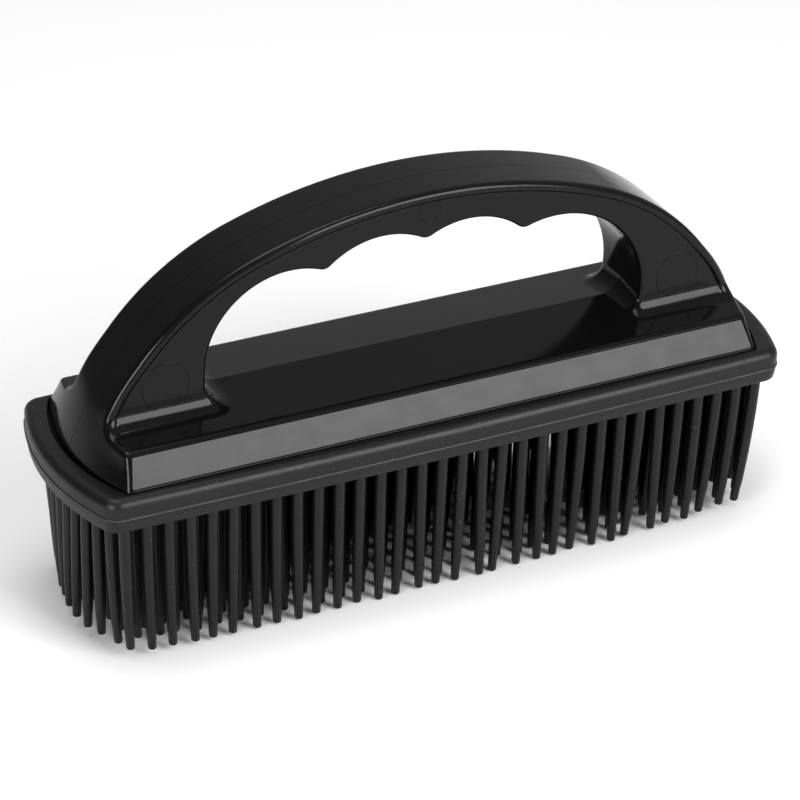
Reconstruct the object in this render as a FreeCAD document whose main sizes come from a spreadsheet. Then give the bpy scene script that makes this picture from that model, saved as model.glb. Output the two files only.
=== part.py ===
"""Rubber curry brush: a D-shaped loop handle in two halves on a rubber pad full of long bristles.

Frame: millimetres, +Z up. The origin is the middle of the plane that the bristle tips rest on.
+X runs along the brush, and -Y is its front, the side with the label strip.
"""
import FreeCAD, Part
import math
import os
import re
import Sketcher

DOC = FreeCAD.newDocument("curry_brush")
SHEET = DOC.addObject("Spreadsheet::Sheet", "dims")

# alias, value or formula, meaning
DIMENSIONS = [
    ("bristle_reach", "36.8", "height of the pad's underside above the bristle tips"),
    ("rim_height", "8.5", "thickness of the rubber pad, rim included"),
    ("rim_corner_x", "88", "sharp corner of the rim's outline, along the brush"),
    ("rim_corner_y", "26.4", "sharp corner of the rim's outline, across the brush"),
    ("rim_end_bow", "5.6", "how far each end of the rim bulges past its corners"),
    ("rim_side_bow", "1.0", "how far each long side of the rim bulges past its corners"),
    ("rim_corner_round", "4.4", "radius of the rim's four upright corners"),
    ("rim_top_round", "2.0", "radius around the rim's upper edge"),
    ("rim_low_round", "0.8", "radius around the rim's lower edge"),
    ("flash_drop", "4.8", "moulding ridge, below the top of the rim"),
    ("flash_proud", "0.25", "how far the moulding ridge stands out"),
    ("flash_thick", "0.35", "thickness of the moulding ridge"),
    ("pad_floor", "3.5", "rubber between the backing plate and the underside"),
    ("plate_thick", "2.5", "thickness of the backing plate"),
    ("plate_edge", "2.0", "rubber wall outside the backing plate"),
    ("plate_gap", "0.2", "room around the backing plate"),
    ("mouth_gap", "0.15", "gap between the foot and the rubber lip at the sides"),
    ("mouth_end_gap", "0.7", "extra gap between the foot and the rubber lip at the ends"),
    ("foot_x", "82.7", "corner of the foot where it leaves the rubber, along the brush"),
    ("foot_y", "23.6", "corner of the foot where it leaves the rubber, across the brush"),
    ("foot_bow", "5.2", "bulge of the foot's ends where it leaves the rubber"),
    ("foot_top_x", "81.2", "upper corner of the foot, along the brush"),
    ("foot_top_y", "19.3", "upper corner of the foot, across the brush"),
    ("foot_top_bow", "3.6", "bulge of the foot's ends at its upper corners"),
    ("foot_edge_height", "7.6", "height of the foot's sloping sides"),
    ("roof_height", "10.05", "height of the foot's crowned roof along its middle"),
    ("loft_height", "12", "height of the foot before its roof is crowned"),
    ("arch_height", "52.8", "top of the loop above the rubber"),
    ("arch_radius", "133", "radius over the top of the loop"),
    ("shoulder_radius", "66", "radius of the loop's shoulders"),
    ("arch_reach", "85.7", "half span of the loop where it meets the foot"),
    ("arch_sink", "2", "depth of the loop's ends inside the foot"),
    ("arch_half_thick", "9.9", "half thickness of the loop, front to back"),
    ("grip_edge_round", "1.0", "radius along the edges of the loop and of its finger opening"),
    ("leg_root_round", "2.6", "radius where the legs stand on the roof"),
    ("window_half", "57.5", "half length of the finger opening"),
    ("window_floor", "9.3", "bottom of the finger opening, above the rubber"),
    ("window_corner", "5.6", "radius of the finger opening's lower corners"),
    ("finger_shift", "1.6", "how far the four finger hollows sit towards -X"),
    ("outer_finger_x", "34.6", "middle of an outer finger hollow, from their middle"),
    ("outer_finger_top", "39.7", "top of the outer finger hollows"),
    ("inner_finger_x", "11.1", "middle of an inner finger hollow, from their middle"),
    ("inner_finger_top", "43.7", "top of the inner finger hollows"),
    ("inner_finger_radius", "21.3", "radius of the inner finger hollows"),
    ("wall", "2.4", "wall thickness of the hollow handle"),
    ("strip_end_margin", "0.9", "plain foot left beyond each end of the label strip"),
    ("strip_low", "0.6", "plain foot left below the label strip, along the slope"),
    ("strip_width", "7.2", "width of the label strip, along the slope"),
    ("strip_sunk", "0.3", "depth of the label strip in the foot"),
    ("strip_proud", "0.1", "how far the label strip stands out"),
    ("screw_x", "58", "distance between the screws, along the brush"),
    ("screw_y", "12", "screws from the middle, across the brush"),
    ("screw_radius", "1.45", "radius of the self-tapping screws"),
    ("screw_hole_radius", "1.5", "radius of the holes that the screws cut into"),
    ("screw_length", "8", "length of the screws, head included"),
    ("screw_head_radius", "2.9", "radius of the countersunk heads"),
    ("screw_head_height", "1.5", "height of the countersunk heads"),
    ("driver_radius", "1.1", "corner radius of the hexagonal driver recess"),
    ("driver_depth", "0.8", "depth of the driver recess"),
    ("boss_radius", "3.2", "outer radius of the screw bosses"),
    ("boss_height", "9.6", "height of the screw bosses, up into the roof"),
    ("pin_x", "67.6", "locating pins in the legs, along the brush"),
    ("pin_height", "17.1", "locating pins in the legs, above the rubber"),
    ("pin_radius", "2", "radius of the locating pins in the legs"),
    ("top_pin_height", "46.7", "locating pin in the top of the loop, above the rubber"),
    ("top_pin_radius", "1.4", "radius of the locating pin in the top of the loop"),
    ("pin_length", "4", "how far the locating pins reach across the seam"),
    ("pin_gap", "0.05", "room around the locating pins"),
    ("pin_collar", "2", "wall of the sockets and of the bosses behind the pins"),
    ("row_count", "11", "bristle rows across the brush"),
    ("bristle_pitch", "5.35", "usual distance between the bristles of a row"),
    ("row_spacing", "4.62", "distance between rows"),
    ("row_half", "83.7", "half length of the outermost rows"),
    ("row_bow", "4.2", "extra half length of a row on the centre line"),
    ("root_radius", "1.4", "radius of a bristle at its root"),
    ("tip_radius", "1.0", "radius of a bristle at its tip"),
    ("tip_round", "0.25", "radius around the flat tip of a bristle"),
    ("tip_rise", "2.3", "how much shorter the end bristles are than the middle ones"),
    ("bristle_swing", "25", "how far the bristles bend each way, in degrees"),
    ("root_gap", "0.05", "room between a bristle's domed root and the pad"),
    ("big", "250", "longer than the whole brush, for cuts"),
    # Worked out from the sizes above.
    ("rim_top", "=bristle_reach + rim_height", "level where the foot leaves the rubber"),
    ("rim_apex_x", "=rim_corner_x + rim_end_bow", "end of the rim, on the centre line"),
    ("rim_apex_y", "=rim_corner_y + rim_side_bow", "side of the rim, at mid length"),
    ("flash_level", "=rim_top - flash_drop - flash_thick / 2", "underside of the moulding ridge"),
    ("plate_level", "=bristle_reach + pad_floor", "underside of the backing plate"),
    ("foot_base", "=plate_level + plate_thick", "bottom of the handle, on the plate"),
    ("mouth_depth", "=rim_top - foot_base + 1", "depth of the mouth's cutter"),
    ("foot_apex_x", "=foot_x + foot_bow", "end of the foot, on the centre line"),
    ("loft_share", "=loft_height / foot_edge_height", "foot's full height over its slope's"),
    ("loft_x", "=foot_x - (foot_x - foot_top_x) * loft_share", "foot's corner at its full height"),
    ("loft_y", "=foot_y - (foot_y - foot_top_y) * loft_share", "foot's corner at its full height"),
    ("loft_bow", "=foot_bow - (foot_bow - foot_top_bow) * loft_share", "end bulge at full height"),
    ("loft_apex_x", "=loft_x + loft_bow", "end of the foot at its full height"),
    ("loft_level", "=rim_top + loft_height", "level of the foot's full height"),
    ("slope_length", "=sqrt((foot_y - foot_top_y) ^ 2 + foot_edge_height ^ 2)", "along the slope"),
    ("strip_lean", "=(foot_x - foot_top_x) / slope_length", "lean of the foot's corners, along it"),
    ("roof_level", "=rim_top + roof_height", "level of the roof along its middle"),
    ("roof_drop", "=roof_height - foot_edge_height", "rise of the roof's crown"),
    ("roof_radius", "=(foot_top_y ^ 2 + roof_drop ^ 2) / (2 * roof_drop)", "radius of the crown"),
    ("arch_level", "=rim_top + arch_height", "level of the loop's top"),
    ("arch_centre", "=arch_level - arch_radius", "level of the centre of the loop's top arc"),
    ("arch_base", "=rim_top + arch_sink", "level of the loop's ends inside the foot"),
    ("root_level", "=rim_top + window_floor - 0.4", "bottom of the fillets beside the legs"),
    ("root_run", "=foot_top_x + 0.8 - window_half", "length of the fillets beside the legs"),
    ("window_level", "=rim_top + window_floor", "level of the finger opening's bottom"),
    ("left_finger_x", "=-finger_shift - outer_finger_x", "centre of the finger hollow at -X"),
    ("right_finger_x", "=-finger_shift + outer_finger_x", "centre of the finger hollow at +X"),
    ("left_finger_radius", "=window_half + left_finger_x", "radius of the hollow at -X"),
    ("right_finger_radius", "=window_half - right_finger_x", "radius of the hollow at +X"),
    ("left_finger_z", "=rim_top + outer_finger_top - left_finger_radius", "its centre's level"),
    ("right_finger_z", "=rim_top + outer_finger_top - right_finger_radius", "its centre's level"),
    ("second_finger_x", "=-finger_shift - inner_finger_x", "centre of the second hollow"),
    ("third_finger_x", "=-finger_shift + inner_finger_x", "centre of the third hollow"),
    ("inner_finger_z", "=rim_top + inner_finger_top - inner_finger_radius", "their centres' level"),
    ("strip_x", "=foot_x - strip_end_margin - strip_lean * strip_low", "half length at its foot"),
    ("strip_top_x", "=strip_x - strip_lean * strip_width", "half length of the strip at its top"),
    ("foot_lean", "=atan((foot_y - foot_top_y) / foot_edge_height)", "lean of the foot's sides"),
    ("dimple_radius", "=root_radius / cos(bristle_swing * 1 deg) + root_gap", "bristle's dimple"),
]

FRONT = -1
REAR = 1


def fill_sheet():
    """Writes each dimension, its alias and its meaning to a row of the spreadsheet."""
    for row, (alias, value, meaning) in enumerate(DIMENSIONS, start=1):
        SHEET.set("A%d" % row, meaning)
        SHEET.set("B%d" % row, value)
        SHEET.setAlias("B%d" % row, alias)
    DOC.recompute()


def size(alias):
    """The number that a dimension has now."""
    value = SHEET.get(alias)
    return float(getattr(value, "Value", value))


def total(terms):
    """The sum of some dimensions; one written with a leading minus is taken away."""
    return sum(-size(term[1:]) if term.startswith("-") else size(term) for term in terms)


def formula(text):
    """The text as an expression that reads every dimension it names from the sheet."""
    aliases = {alias for alias, value, meaning in DIMENSIONS}
    return re.sub(r"[a-z]\w*", lambda word: ("dims." if word[0] in aliases else "") + word[0], text)


def bind(thing, name, text):
    """Binds a property of a document object to a formula of the dimensions."""
    thing.setExpression(name, formula(text))


def dimension(sketch, kind, places, *terms):
    """Adds a sketch dimension that is the sum of some of the sheet's dimensions."""
    index = sketch.addConstraint(Sketcher.Constraint(kind, *places, total(terms)))
    bind(sketch, "Constraints[%d]" % index, " ".join(t if t[0] == "-" else "+" + t for t in terms))


def constrain(sketch, kind, *places):
    """Adds a sketch constraint that has no size."""
    sketch.addConstraint(Sketcher.Constraint(kind, *places))


# Sketch geometry is named by index: the origin is geometry -1 point 1, the axes are -1 and -2,
# and a curve's start, end and centre are its points 1, 2 and 3.
ORIGIN = (-1, 1)
ALONG = -1
UPRIGHT = -2
START = 1
END = 2
CENTRE = 3


def new_body(name):
    body = DOC.addObject("PartDesign::Body", name)
    body.Label = name
    return body


def new_sketch(body, name, role, level="0"):
    """A sketch on one of the body's own origin planes, at a level along the plane's normal."""
    plane = next(item for item in body.Origin.OriginFeatures if item.Role == role)
    sketch = body.newObject("Sketcher::SketchObject", name)
    sketch.AttachmentSupport = [(plane, "")]
    sketch.MapMode = "FlatFace"
    bind(sketch, "AttachmentOffset.Base.z", level)
    return sketch


def point(x, y):
    return FreeCAD.Vector(x, y, 0)


def arc(middle, start, end):
    """An anticlockwise arc around the middle, from the start point to the end point."""
    radius = middle.distanceToPoint(start)
    circle = Part.Circle(middle, FreeCAD.Vector(0, 0, 1), radius)
    first = math.atan2(start.y - middle.y, start.x - middle.x)
    last = math.atan2(end.y - middle.y, end.x - middle.x)
    return Part.ArcOfCircle(circle, first, last)


def bowed_arc(start, end, bow):
    """An anticlockwise arc from start to end that bulges by bow to the right of the chord."""
    chord = end - start
    radius = (chord.Length ** 2 / 4 + bow ** 2) / (2 * bow)
    outwards = point(chord.y, -chord.x).normalize()
    middle = (start + end) * 0.5 - outwards * (radius - bow)
    return arc(middle, start, end)


def pin_apex(sketch, curve, axis, kind, terms, apex):
    """Makes a bowed side pass through a point on an axis, at the given distance from the origin."""
    marker = sketch.addGeometry(Part.Point(apex), True)
    constrain(sketch, "PointOnObject", marker, START, axis)
    constrain(sketch, "PointOnObject", marker, START, curve)
    dimension(sketch, kind, (*ORIGIN, marker, START), *terms)


def bowed_outline(sketch, corner_x, corner_y, apex_x, apex_y=None):
    """A four-sided outline about the origin with bowed ends, and bowed sides if apex_y is given.

    Each size is a tuple of terms from the sheet.
    """
    x = total(corner_x)
    y = total(corner_y)
    corners = [point(-x, -y), point(x, -y), point(x, y), point(-x, y)]
    end_bow = total(apex_x) - x
    sides = []
    for index, start in enumerate(corners):
        end = corners[(index + 1) % 4]
        if index % 2 == 1:
            curve = bowed_arc(start, end, end_bow)
        elif apex_y:
            curve = bowed_arc(start, end, total(apex_y) - y)
        else:
            curve = Part.LineSegment(start, end)
        sides.append(sketch.addGeometry(curve))
    front, right, rear, left = sides
    for index, side in enumerate(sides):
        constrain(sketch, "Coincident", side, END, sides[(index + 1) % 4], START)
    constrain(sketch, "Symmetric", front, START, front, END, UPRIGHT)
    constrain(sketch, "Symmetric", rear, START, rear, END, UPRIGHT)
    constrain(sketch, "Symmetric", left, START, left, END, ALONG)
    dimension(sketch, "DistanceX", (*ORIGIN, front, END), *corner_x)
    dimension(sketch, "DistanceY", (*ORIGIN, rear, START), *corner_y)
    pin_apex(sketch, right, ALONG, "DistanceX", apex_x, point(total(apex_x), 0))
    mirrored_x = point(-total(apex_x), 0)
    marker = sketch.addGeometry(Part.Point(mirrored_x), True)
    constrain(sketch, "PointOnObject", marker, START, left)
    constrain(sketch, "PointOnObject", marker, START, ALONG)
    dimension(sketch, "DistanceX", (marker, START, *ORIGIN), *apex_x)
    if apex_y:
        pin_apex(sketch, rear, UPRIGHT, "DistanceY", apex_y, point(0, total(apex_y)))
        marker = sketch.addGeometry(Part.Point(point(0, -total(apex_y))), True)
        constrain(sketch, "PointOnObject", marker, START, front)
        constrain(sketch, "PointOnObject", marker, START, UPRIGHT)
        dimension(sketch, "DistanceY", (marker, START, *ORIGIN), *apex_y)


def edge_names(shape, test):
    """Names of the edges whose bounding box passes the test."""
    return ["Edge%d" % number for number, edge in enumerate(shape.Edges, start=1)
            if test(edge.BoundBox)]


def fillet(body, name, radius, test):
    """Rounds the edges of the body's last feature that pass the test."""
    DOC.recompute()
    base = body.Tip
    feature = body.newObject("PartDesign::Fillet", name)
    feature.Base = (base, edge_names(base.Shape, test))
    bind(feature, "Radius", radius)
    body.Tip = feature


def is_upright(box):
    return box.ZLength > 0.1 and box.XLength < 0.01 and box.YLength < 0.01


def is_level_at(height):
    return lambda box: box.ZLength < 0.01 and abs(box.ZMin - height) < 0.01


def bowed_slab(name, level, thickness, corner_x, corner_y, apex_x, apex_y=None, corner=None):
    """An upright slab with a bowed outline, its upright corners rounded if a radius is given."""
    body = new_body(name)
    sketch = new_sketch(body, name + "_outline", "XY_Plane", level)
    bowed_outline(sketch, corner_x, corner_y, apex_x, apex_y)
    slab = body.newObject("PartDesign::Pad", name + "_slab")
    slab.Profile = sketch
    bind(slab, "Length", thickness)
    if corner:
        fillet(body, name + "_corners", corner, is_upright)
    return body


def combine(kind, name, *shapes):
    """A fuse, common or cut of some document objects."""
    result = DOC.addObject("Part::" + kind, name)
    if kind == "Cut":
        result.Base, result.Tool = shapes
    else:
        result.Shapes = list(shapes)
    return result


def rod(name, radius, length, x, y, z, axis):
    """A cylinder that starts at a place and runs along an axis; every size is a formula."""
    cylinder = DOC.addObject("Part::Cylinder", name)
    cylinder.Placement.Rotation = FreeCAD.Rotation(FreeCAD.Vector(0, 0, 1), axis)
    bind(cylinder, "Radius", radius)
    bind(cylinder, "Height", length)
    bind(cylinder, "Placement.Base.x", x)
    bind(cylinder, "Placement.Base.y", y)
    bind(cylinder, "Placement.Base.z", z)
    return cylinder


# The rubber pad


def rubber_pad():
    """The rubber tray: thick rounded rim, a lip over the plate's edge, a dimple for each bristle."""
    block = bowed_slab("pad_block", "bristle_reach", "rim_height",
                       ("rim_corner_x",), ("rim_corner_y",), ("rim_apex_x",), ("rim_apex_y",),
                       "rim_corner_round")
    fillet(block, "pad_top_edge", "rim_top_round", is_level_at(size("rim_top")))
    fillet(block, "pad_low_edge", "rim_low_round", is_level_at(size("bristle_reach")))
    ridge = bowed_slab("moulding_ridge", "flash_level", "flash_thick",
                       ("rim_corner_x", "flash_proud"), ("rim_corner_y", "flash_proud"),
                       ("rim_apex_x", "flash_proud"), ("rim_apex_y", "flash_proud"),
                       "rim_corner_round + flash_proud")
    room = bowed_slab("plate_room", "plate_level", "plate_thick + plate_gap",
                      ("rim_corner_x", "-plate_edge"), ("rim_corner_y", "-plate_edge"),
                      ("rim_apex_x", "-plate_edge"), ("rim_apex_y", "-plate_edge"),
                      "rim_corner_round - plate_edge")
    mouth = bowed_slab("pad_mouth", "foot_base", "mouth_depth",
                       ("foot_x", "mouth_gap"), ("foot_y", "mouth_gap"),
                       ("foot_apex_x", "mouth_gap", "mouth_end_gap"))
    solid = combine("MultiFuse", "pad_solid", block, ridge)
    hollow = combine("MultiFuse", "pad_hollow", room, mouth)
    tray = combine("Cut", "pad_tray", solid, hollow)
    pad = combine("Cut", "rubber_pad", tray, dimples())
    pad.Label = "rubber_pad"
    return pad


def dimples():
    """The round hollows in the pad's underside, one for each bristle's root."""
    radius = size("dimple_radius")
    places = [place for row in range(int(size("row_count"))) for place in bristle_places(row)]
    feature = DOC.addObject("Part::Feature", "root_dimples")
    feature.Shape = Part.makeCompound([Part.makeSphere(radius, place) for place in places])
    return feature


# The bristles


def row_y(row):
    """How far back a row is: the rows are counted from the front."""
    return (row - (size("row_count") - 1) / 2) * size("row_spacing")


def bristle_places(row):
    """Root centres of a row's bristles, evenly spaced between the bowed ends of the pad.

    Rows hold an even and an odd number of bristles in turn, so each row stands in the gaps of
    the next one.
    """
    y = row_y(row)
    half = size("row_half") + size("row_bow") * (1 - (y / row_y(0)) ** 2)
    odd = row % 2
    count = 2 * round((2 * half / size("bristle_pitch") + 1 - odd) / 2) + odd
    return [FreeCAD.Vector(half * (2 * index / (count - 1) - 1), y, size("bristle_reach"))
            for index in range(count)]


def bristle(tip_level):
    """One bristle at the origin's upright line: a domed root, a tapered shank and a flat tip."""
    root = size("root_radius")
    tip = size("tip_radius")
    round_ = size("tip_round")
    shift = round_ * (1 - math.sqrt(0.5))
    level = size("bristle_reach")
    crown = FreeCAD.Vector(0, 0, level + root)
    flank = FreeCAD.Vector(root, 0, level)
    dome_middle = FreeCAD.Vector(root * math.sqrt(0.5), 0, level + root * math.sqrt(0.5))
    shank_end = FreeCAD.Vector(tip, 0, tip_level + round_)
    round_middle = FreeCAD.Vector(tip - shift, 0, tip_level + shift)
    tip_edge = FreeCAD.Vector(tip - round_, 0, tip_level)
    tip_middle = FreeCAD.Vector(0, 0, tip_level)
    outline = Part.Wire([
        Part.Arc(crown, dome_middle, flank).toShape(),
        Part.makeLine(flank, shank_end),
        Part.Arc(shank_end, round_middle, tip_edge).toShape(),
        Part.makeLine(tip_edge, tip_middle),
        Part.makeLine(tip_middle, crown),
    ])
    return Part.Face(outline).revolve(FreeCAD.Vector(), FreeCAD.Vector(0, 0, 1), 360)


def bristle_row(row):
    """One lengthwise row of separate bristles, shorter towards both ends of the brush."""
    solids = []
    for place in bristle_places(row):
        shorter = size("tip_rise") * (abs(place.x) / size("row_half")) ** 4
        solids.append(bristle(min(shorter, size("tip_rise"))).translated(point(place.x, place.y)))
    name = "bristle_row_%02d" % (row + 1)
    feature = DOC.addObject("Part::Feature", name)
    feature.Label = name
    feature.Shape = Part.makeCompound(solids)
    return feature


# The handle


def foot(name, base, inset=()):
    """The handle's foot: an upright skirt, sloping sides and a crowned roof, inset by some walls."""
    body = new_body(name)
    low = new_sketch(body, name + "_low", "XY_Plane", "rim_top")
    bowed_outline(low, ("foot_x", *inset), ("foot_y", *inset), ("foot_apex_x", *inset))
    high = new_sketch(body, name + "_high", "XY_Plane", "loft_level")
    bowed_outline(high, ("loft_x", *inset), ("loft_y", *inset), ("loft_apex_x", *inset))
    slope = body.newObject("PartDesign::AdditiveLoft", name + "_slope")
    slope.Profile = low
    slope.Sections = [high]
    slope.Ruled = True
    ring = new_sketch(body, name + "_ring", "XY_Plane", base)
    bowed_outline(ring, ("foot_x", *inset), ("foot_y", *inset), ("foot_apex_x", *inset))
    skirt = body.newObject("PartDesign::Pad", name + "_skirt")
    skirt.Profile = ring
    bind(skirt, "Length", "rim_top - (%s)" % base)
    crown = new_sketch(body, name + "_crown", "YZ_Plane")
    crown_section(crown, inset)
    trim = body.newObject("PartDesign::Pocket", name + "_trim")
    trim.Profile = crown
    trim.Midplane = True
    bind(trim, "Length", "big")
    return body


def crown_section(sketch, inset):
    """What is cut off above the roof: everything over an arc across the brush."""
    radius = total(("roof_radius", *inset))
    top = total(("roof_level", *inset))
    half = size("foot_y")
    middle = point(0, top - radius)
    side = middle.y + math.sqrt(radius ** 2 - half ** 2)
    ceiling = size("arch_level")
    corners = [point(half, side), point(half, ceiling), point(-half, ceiling), point(-half, side)]
    sketch.addGeometry(arc(middle, corners[0], corners[3]))
    sketch.addGeometry(Part.LineSegment(corners[0], corners[1]))
    sketch.addGeometry(Part.LineSegment(corners[1], corners[2]))
    sketch.addGeometry(Part.LineSegment(corners[2], corners[3]))
    constrain(sketch, "Coincident", 0, START, 1, START)
    constrain(sketch, "Coincident", 1, END, 2, START)
    constrain(sketch, "Coincident", 2, END, 3, START)
    constrain(sketch, "Coincident", 3, END, 0, END)
    constrain(sketch, "Vertical", 1)
    constrain(sketch, "Vertical", 3)
    constrain(sketch, "Symmetric", 2, START, 2, END, UPRIGHT)
    constrain(sketch, "PointOnObject", 0, CENTRE, UPRIGHT)
    dimension(sketch, "Radius", (0,), "roof_radius", *inset)
    dimension(sketch, "DistanceY", (*ORIGIN, 0, CENTRE), "roof_level", "-roof_radius")
    dimension(sketch, "DistanceX", (*ORIGIN, 1, END), "foot_y")
    dimension(sketch, "DistanceY", (*ORIGIN, 1, END), "arch_level")


def meeting(first, first_radius, second, second_radius):
    """Where two circles cross, to the left of the line from the first centre to the second."""
    across = second - first
    gap = across.Length
    along = (first_radius ** 2 - second_radius ** 2 + gap ** 2) / (2 * gap)
    aside = math.sqrt(first_radius ** 2 - along ** 2)
    unit = across * (1 / gap)
    return first + unit * along + point(-unit.y, unit.x) * aside


def arch_outline(sketch, inset):
    """The loop's outer profile: one arc over the top and a tighter one for each shoulder."""
    radius = total(("arch_radius", *inset))
    shoulder = total(("shoulder_radius", *inset))
    middle = point(0, size("arch_centre"))
    right_end = point(total(("arch_reach", *inset)), size("arch_base"))
    right_middle = meeting(middle, radius - shoulder, right_end, shoulder)
    if right_middle.x < 0:
        raise ValueError("the loop's shoulders cross the middle")
    join = right_middle + (right_middle - middle).normalize() * shoulder
    left_end = point(-right_end.x, right_end.y)
    left_middle = point(-right_middle.x, right_middle.y)
    left_join = point(-join.x, join.y)
    sketch.addGeometry(arc(right_middle, right_end, join))
    sketch.addGeometry(arc(middle, join, left_join))
    sketch.addGeometry(arc(left_middle, left_join, left_end))
    sketch.addGeometry(Part.LineSegment(left_end, right_end))
    constrain(sketch, "Tangent", 0, END, 1, START)
    constrain(sketch, "Tangent", 1, END, 2, START)
    constrain(sketch, "Coincident", 2, END, 3, START)
    constrain(sketch, "Coincident", 3, END, 0, START)
    constrain(sketch, "PointOnObject", 1, CENTRE, UPRIGHT)
    constrain(sketch, "Symmetric", 3, START, 3, END, UPRIGHT)
    constrain(sketch, "Equal", 0, 2)
    dimension(sketch, "Radius", (0,), "shoulder_radius", *inset)
    dimension(sketch, "Radius", (1,), "arch_radius", *inset)
    dimension(sketch, "DistanceY", (1, CENTRE, *ORIGIN), "-arch_centre")
    dimension(sketch, "DistanceX", (*ORIGIN, 3, END), "arch_reach", *inset)
    dimension(sketch, "DistanceY", (*ORIGIN, 3, END), "arch_base")


def window_outline(sketch, outset):
    """The finger opening: four finger hollows, upright ends, rounded lower corners, flat floor."""
    names = ["left_finger", "second_finger", "third_finger", "right_finger"]
    radii = [("left_finger_radius",), ("inner_finger_radius",),
             ("inner_finger_radius",), ("right_finger_radius",)]
    levels = ["left_finger_z", "inner_finger_z", "inner_finger_z", "right_finger_z"]
    middles = [point(size(name + "_x"), size(level)) for name, level in zip(names, levels)]
    sizes = [total((*radius, *outset)) for radius in radii]
    corner = total(("window_corner", *outset))
    wall_x = total(("window_half", *outset))
    floor = size("window_level") - total(outset)
    cusps = [meeting(middles[i], sizes[i], middles[i + 1], sizes[i + 1]) for i in range(3)]
    corner_level = floor + corner
    left_top = point(-wall_x, middles[0].y)
    right_top = point(wall_x, middles[3].y)
    left_low = point(-wall_x, corner_level)
    right_low = point(wall_x, corner_level)
    left_floor = point(corner - wall_x, floor)
    right_floor = point(wall_x - corner, floor)
    starts = [cusps[0], cusps[1], cusps[2], right_top]
    ends = [left_top, cusps[0], cusps[1], cusps[2]]
    for middle, start, end in zip(middles, starts, ends):
        sketch.addGeometry(arc(middle, start, end))
    sketch.addGeometry(Part.LineSegment(left_top, left_low))
    sketch.addGeometry(arc(point(left_floor.x, corner_level), left_low, left_floor))
    sketch.addGeometry(Part.LineSegment(left_floor, right_floor))
    sketch.addGeometry(arc(point(right_floor.x, corner_level), right_floor, right_low))
    sketch.addGeometry(Part.LineSegment(right_low, right_top))
    for index, (name, level, radius) in enumerate(zip(names, levels, radii)):
        dimension(sketch, "Radius", (index,), *radius, *outset)
        dimension(sketch, "DistanceY", (*ORIGIN, index, CENTRE), level)
        if size(name + "_x") < 0:
            dimension(sketch, "DistanceX", (index, CENTRE, *ORIGIN), "-" + name + "_x")
        else:
            dimension(sketch, "DistanceX", (*ORIGIN, index, CENTRE), name + "_x")
    for index in range(3):
        constrain(sketch, "Coincident", index, START, index + 1, END)
    constrain(sketch, "Tangent", 0, END, 4, START)
    constrain(sketch, "Tangent", 4, END, 5, START)
    constrain(sketch, "Tangent", 5, END, 6, START)
    constrain(sketch, "Tangent", 6, END, 7, START)
    constrain(sketch, "Tangent", 7, END, 8, START)
    constrain(sketch, "Tangent", 8, END, 3, START)
    constrain(sketch, "Vertical", 4)
    constrain(sketch, "Vertical", 8)
    constrain(sketch, "Horizontal", 6)
    dimension(sketch, "Radius", (5,), "window_corner", *outset)
    dimension(sketch, "Radius", (7,), "window_corner", *outset)
    minus_outset = tuple("-" + term for term in outset)
    dimension(sketch, "DistanceY", (*ORIGIN, 6, START), "window_level", *minus_outset)


def loop(name, inset=()):
    """The loop of the handle with its finger opening; inset by some walls, it is the loop's core."""
    body = new_body(name)
    outside = new_sketch(body, name + "_outside", "XZ_Plane")
    arch_outline(outside, inset)
    arch = body.newObject("PartDesign::Pad", name + "_arch")
    arch.Profile = outside
    arch.Midplane = True
    bind(arch, "Length", "2 * (arch_half_thick %s)" % " ".join(inset))
    inside = new_sketch(body, name + "_inside", "XZ_Plane")
    window_outline(inside, tuple(term.lstrip("-") for term in inset))
    window = body.newObject("PartDesign::Pocket", name + "_window")
    window.Profile = inside
    window.Midplane = True
    bind(window, "Length", "big")
    return body


def rounded(name, base, radius, test):
    """The shape with the edges that pass the test rounded."""
    DOC.recompute()
    feature = DOC.addObject("Part::Fillet", name)
    feature.Base = base
    feature.Edges = [(number, size(radius), size(radius))
                     for number, edge in enumerate(base.Shape.Edges, start=1) if test(edge)]
    return feature


def is_grip_edge(edge):
    """An edge around the finger opening or around the loop, on its front or rear face."""
    box = edge.BoundBox
    flat = box.YLength < 0.01 and abs(abs(box.YMin) - size("arch_half_thick")) < 0.01
    return flat and box.ZMax > size("roof_level")


LEG_ROOTS = [("root_left_front", "-", "-"), ("root_right_front", "", "-"),
             ("root_left_rear", "-", ""), ("root_right_rear", "", "")]


def leg_root(name, end, side):
    """The hollow fillet between one face of a leg and the crowned roof, along the brush."""
    body = new_body(name)
    section = new_sketch(body, name + "_section", "YZ_Plane", "%swindow_half" % end)
    radius = size("leg_root_round")
    across = FRONT if side == "-" else REAR
    inner = size("arch_half_thick") * across
    floor = size("root_level")
    corner = point(inner, floor)
    upper = point(inner, floor + radius)
    outer = point(inner + radius * across, floor)
    middle = point(outer.x, upper.y)
    ends = (upper, outer) if across == REAR else (outer, upper)
    section.addGeometry(arc(middle, *ends))
    section.addGeometry(Part.LineSegment(upper, corner))
    section.addGeometry(Part.LineSegment(corner, outer))
    high, low = (START, END) if across == REAR else (END, START)
    constrain(section, "Coincident", 0, high, 1, START)
    constrain(section, "Coincident", 1, END, 2, START)
    constrain(section, "Coincident", 2, END, 0, low)
    constrain(section, "Vertical", 1)
    constrain(section, "Horizontal", 2)
    constrain(section, "Vertical", 0, CENTRE, 0, low)
    dimension(section, "Radius", (0,), "leg_root_round")
    dimension(section, "DistanceY", (*ORIGIN, 1, END), "root_level")
    places = (*ORIGIN, 1, END) if across == REAR else (1, END, *ORIGIN)
    dimension(section, "DistanceX", places, "arch_half_thick")
    run = body.newObject("PartDesign::Pad", name + "_run")
    run.Profile = section
    run.Reversed = end == "-"
    bind(run, "Length", "root_run")
    return body


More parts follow.
